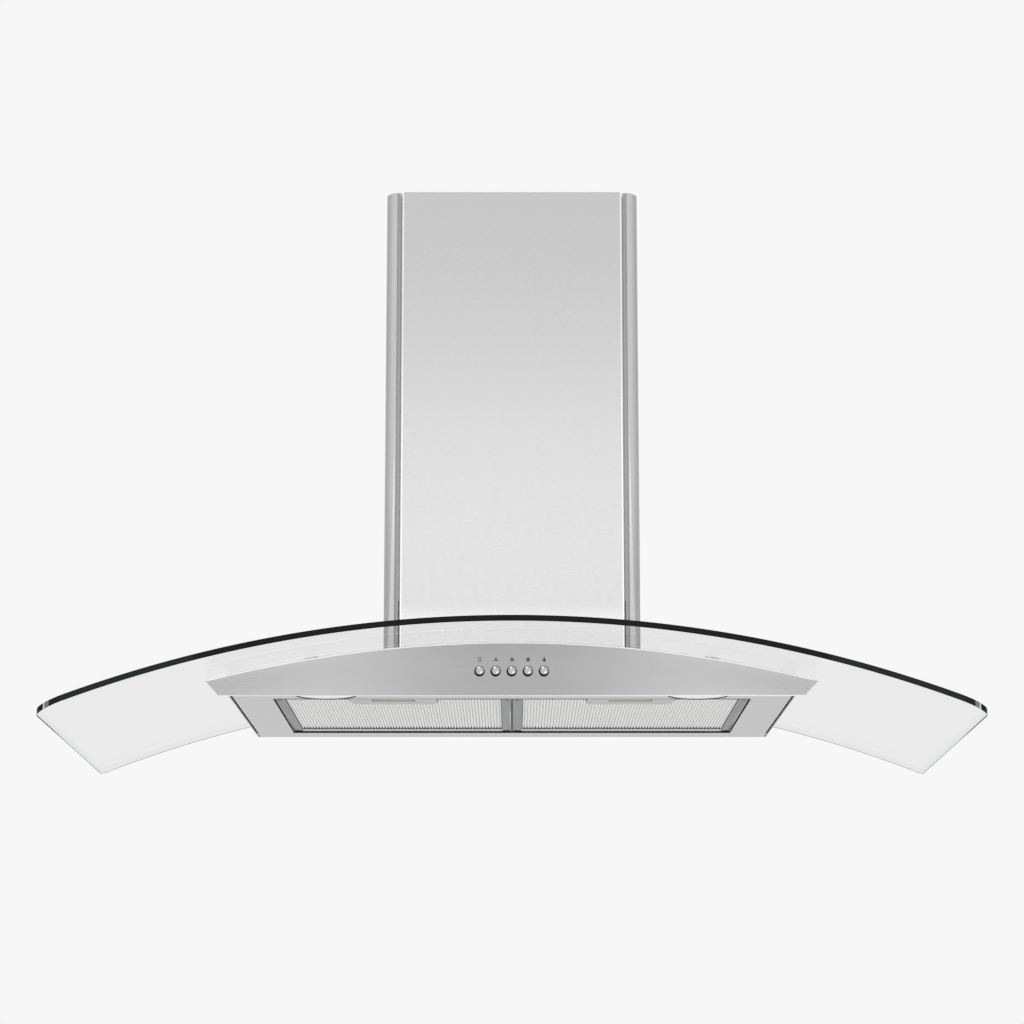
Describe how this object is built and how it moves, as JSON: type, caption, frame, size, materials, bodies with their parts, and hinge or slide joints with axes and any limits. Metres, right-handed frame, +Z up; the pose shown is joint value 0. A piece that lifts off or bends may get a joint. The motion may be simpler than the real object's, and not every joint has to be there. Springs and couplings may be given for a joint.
{
  "type": "range hood",
  "caption": "Wall range hood with an arched glass canopy over a shallow steel body with two mesh filters, push buttons, lamps, a fan box and a square chimney that extends upwards.",
  "frame": {"origin": "middle of the body's lower rear edge, on the wall plane", "axes": "+Z up, +Y into the wall, the hood reaches out along -Y, +X to the right of a person facing the hood"},
  "size_m": [0.9, 0.5016, 0.5921],
  "materials": {
    "canopy_glass": "clear toughened glass with polished green edges",
    "brushed_steel": "stainless sheet, fine long grain, satin",
    "galvanised_steel": "zinc coated sheet, dull with faint spangle",
    "zinc_fastener": "bright zinc plated",
    "button_chrome": "polished chrome plate",
    "black_plastic": "fine matt moulding",
    "grey_plastic": "moulded, matt",
    "latch_plastic": "warm grey moulding, satin",
    "filter_aluminium": "rolled sheet, satin",
    "mesh_aluminium": "pleated woven mesh",
    "gasket_rubber": "black, matt",
    "lamp_glass": "frosted white",
    "lamp_metal": "spun, satin",
    "motor_casing": "painted grey",
    "shaft_steel": "ground",
    "capacitor_can": "bright drawn can",
    "spring_steel": "blued wire"
  },
  "bodies": {
    "hood": {"glass_canopy": "canopy_glass", "glass_gasket": "gasket_rubber", "glass_screws": "zinc_fastener", "glass_washers": "gasket_rubber", "hood_body": "brushed_steel", "underside_panel": "brushed_steel", "control_fascia": "brushed_steel", "fascia_nuts": "zinc_fastener", "button_guides": "black_plastic", "switch_block": "black_plastic", "fan_box": "galvanised_steel", "fan_box_rim": "galvanised_steel", "fan_box_lid": "galvanised_steel", "fan_box_screws": "zinc_fastener", "blower_scroll": "grey_plastic", "blower_side_plate": "grey_plastic", "fan_motor": "motor_casing", "motor_bracket": "galvanised_steel", "capacitor": "capacitor_can", "capacitor_nut": "zinc_fastener", "outlet_collar": "galvanised_steel", "collar_screws": "zinc_fastener", "damper_pins": "shaft_steel", "terminal_box": "grey_plastic", "terminal_box_lid": "black_plastic", "cable_gland": "black_plastic", "chimney_front_panel": "brushed_steel", "chimney_foot_brackets": "galvanised_steel", "chimney_screws": "zinc_fastener", "wall_bracket": "galvanised_steel", "left_lamp_bezel": "lamp_metal", "right_lamp_bezel": "lamp_metal", "left_lamp_lens": "lamp_glass", "right_lamp_lens": "lamp_glass", "left_lamp_cup": "lamp_metal", "right_lamp_cup": "lamp_metal", "left_chimney_side": "brushed_steel", "right_chimney_side": "brushed_steel"},
    "off_button": {"off_button": "button_chrome"},
    "low_speed_button": {"low_speed_button": "button_chrome"},
    "middle_speed_button": {"middle_speed_button": "button_chrome"},
    "high_speed_button": {"high_speed_button": "button_chrome"},
    "lamp_button": {"lamp_button": "button_chrome"},
    "left_filter": {"left_filter_frame": "filter_aluminium", "left_filter_mesh": "mesh_aluminium", "left_latch_housing": "latch_plastic", "left_latch_springs": "spring_steel"},
    "left_latch": {"left_filter_latch": "latch_plastic"},
    "left_flap": {"left_damper_flap": "black_plastic"},
    "right_filter": {"right_filter_frame": "filter_aluminium", "right_filter_mesh": "mesh_aluminium", "right_latch_housing": "latch_plastic", "right_latch_springs": "spring_steel"},
    "right_latch": {"right_filter_latch": "latch_plastic"},
    "right_flap": {"right_damper_flap": "black_plastic"},
    "fan_rotor": {"impeller": "galvanised_steel", "impeller_blades": "galvanised_steel", "impeller_rings": "galvanised_steel", "motor_shaft": "shaft_steel"},
    "upper_chimney": {"upper_chimney": "brushed_steel"}
  },
  "joints": [
    {"name": "off_button_press", "type": "slide", "parent": "hood", "child": "off_button", "axis": [0, 1, 0], "range_m": [0, 0.0025], "stiffness_N_per_m": 300},
    {"name": "low_speed_button_press", "type": "slide", "parent": "hood", "child": "low_speed_button", "axis": [0, 1, 0], "range_m": [0, 0.0025], "stiffness_N_per_m": 300},
    {"name": "middle_speed_button_press", "type": "slide", "parent": "hood", "child": "middle_speed_button", "axis": [0, 1, 0], "range_m": [0, 0.0025], "stiffness_N_per_m": 300},
    {"name": "high_speed_button_press", "type": "slide", "parent": "hood", "child": "high_speed_button", "axis": [0, 1, 0], "range_m": [0, 0.0025], "stiffness_N_per_m": 300},
    {"name": "lamp_button_press", "type": "slide", "parent": "hood", "child": "lamp_button", "axis": [0, 1, 0], "range_m": [0, 0.0025], "stiffness_N_per_m": 300},
    {"name": "left_filter_drop", "type": "hinge", "parent": "hood", "child": "left_filter", "pos_m": [0, -0.036, 0.0012], "axis": [1, 0, 0], "range_deg": [0, 60]},
    {"name": "left_latch_slide", "type": "slide", "parent": "left_filter", "child": "left_latch", "axis": [0, 1, 0], "range_m": [0, 0.005], "stiffness_N_per_m": 400},
    {"name": "left_flap_swing", "type": "hinge", "parent": "hood", "child": "left_flap", "pos_m": [-0.0034, -0.09, 0.314], "axis": [0, 1, 0], "range_deg": [0, 75]},
    {"name": "right_filter_drop", "type": "hinge", "parent": "hood", "child": "right_filter", "pos_m": [0, -0.036, 0.0012], "axis": [1, 0, 0], "range_deg": [0, 60]},
    {"name": "right_latch_slide", "type": "slide", "parent": "right_filter", "child": "right_latch", "axis": [0, 1, 0], "range_m": [0, 0.005], "stiffness_N_per_m": 400},
    {"name": "right_flap_swing", "type": "hinge", "parent": "hood", "child": "right_flap", "pos_m": [0.0034, -0.09, 0.314], "axis": [0, -1, 0], "range_deg": [0, 75]},
    {"name": "fan_spin", "type": "hinge", "parent": "hood", "child": "fan_rotor", "pos_m": [0, -0.128, 0.165], "axis": [1, 0, 0], "continuous": true},
    {"name": "chimney_extension", "type": "slide", "parent": "hood", "child": "upper_chimney", "axis": [0, 0, 1], "range_m": [0, 0.32]}
  ]
}
